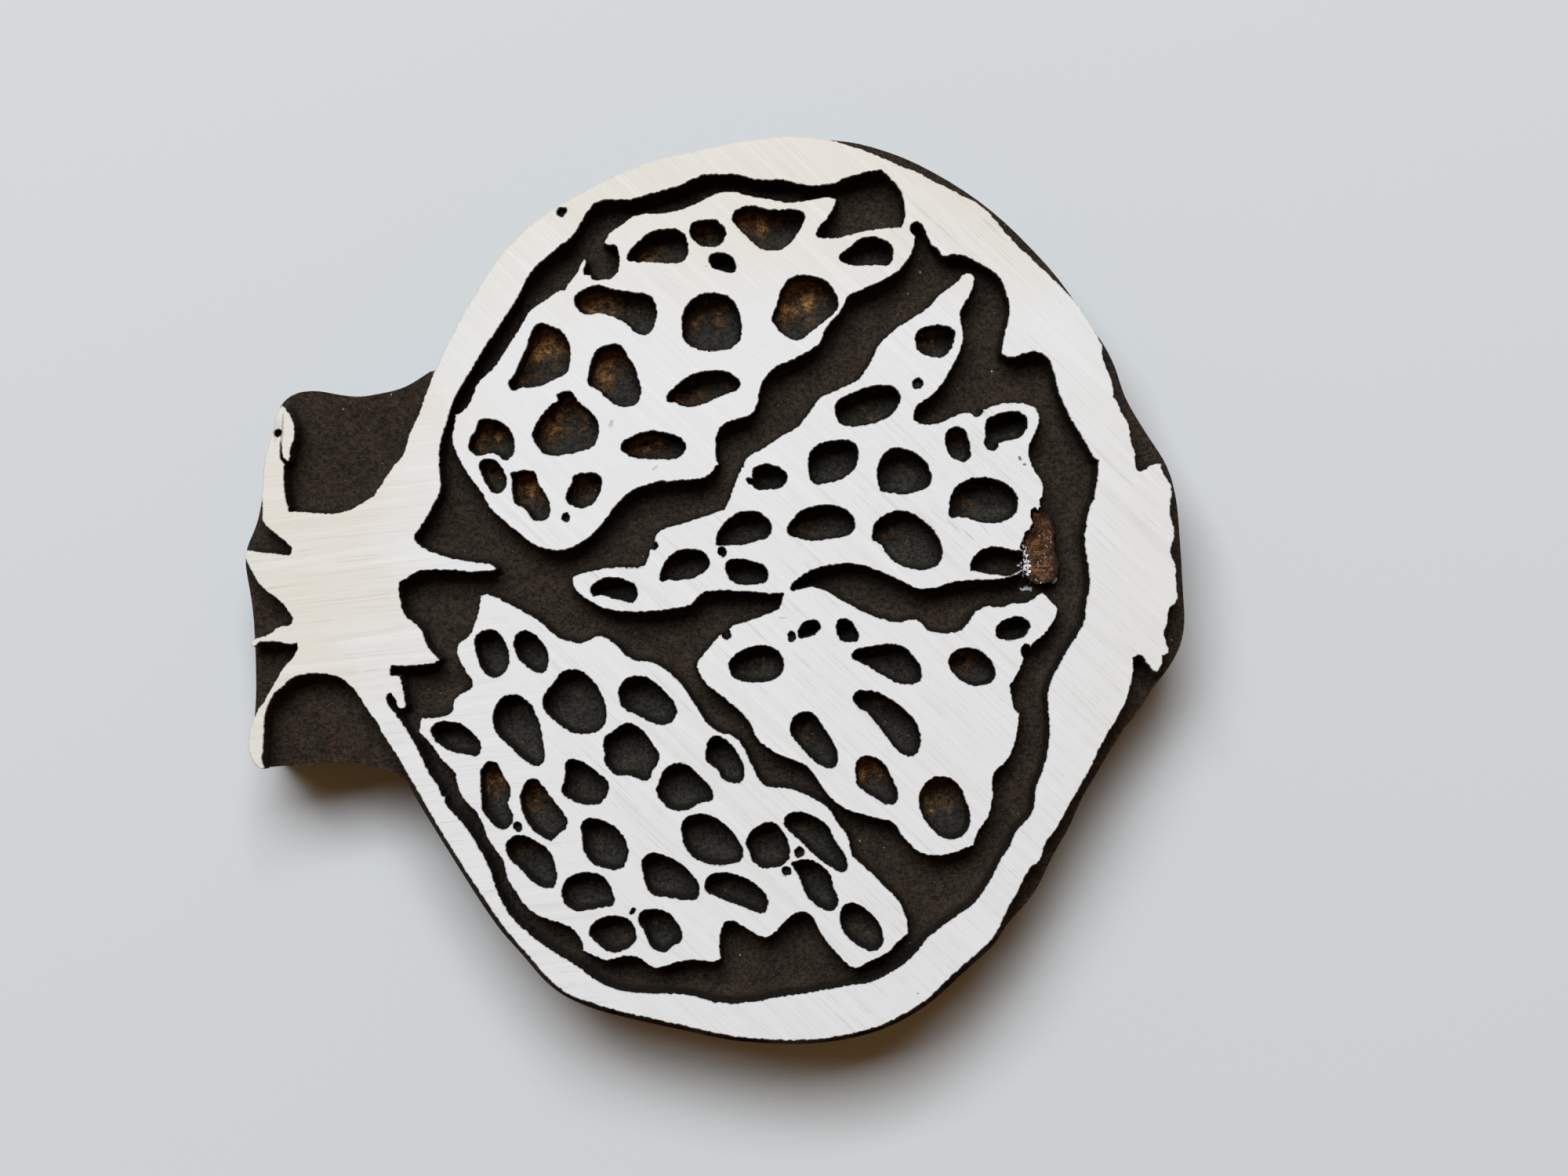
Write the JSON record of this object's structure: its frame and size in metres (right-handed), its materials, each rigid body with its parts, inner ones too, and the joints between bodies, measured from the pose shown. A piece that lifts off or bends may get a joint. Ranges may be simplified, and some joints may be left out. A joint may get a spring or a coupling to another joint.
{
  "type": "wooden textile printing block",
  "caption": "Hand-carved wooden block for printing cloth: flat back, upright sides and a raised half-pomegranate pattern with seed hollows, its printing face coated white.",
  "frame": {"origin": "centre of the flat back, under the middle of the block's outline", "axes": "+Z from the back to the printing face; the pomegranate's crown points to -X and its round end to +X; +Y is the side that is up when the pattern is seen with its crown to the left"},
  "size_m": [0.102, 0.0984, 0.0222],
  "materials": {
    "stained_wood": "dye-stained dark brown hardwood, rough cut, matt",
    "white_coat": "thin warm white paint, sanded flat, faint scratches"
  },
  "bodies": {
    "root": {"carved_block": "stained_wood", "coat_crown_and_rind": "white_coat", "coat_right_cells": "white_coat", "coat_lower_left_cell": "white_coat"}
  },
  "joints": []
}
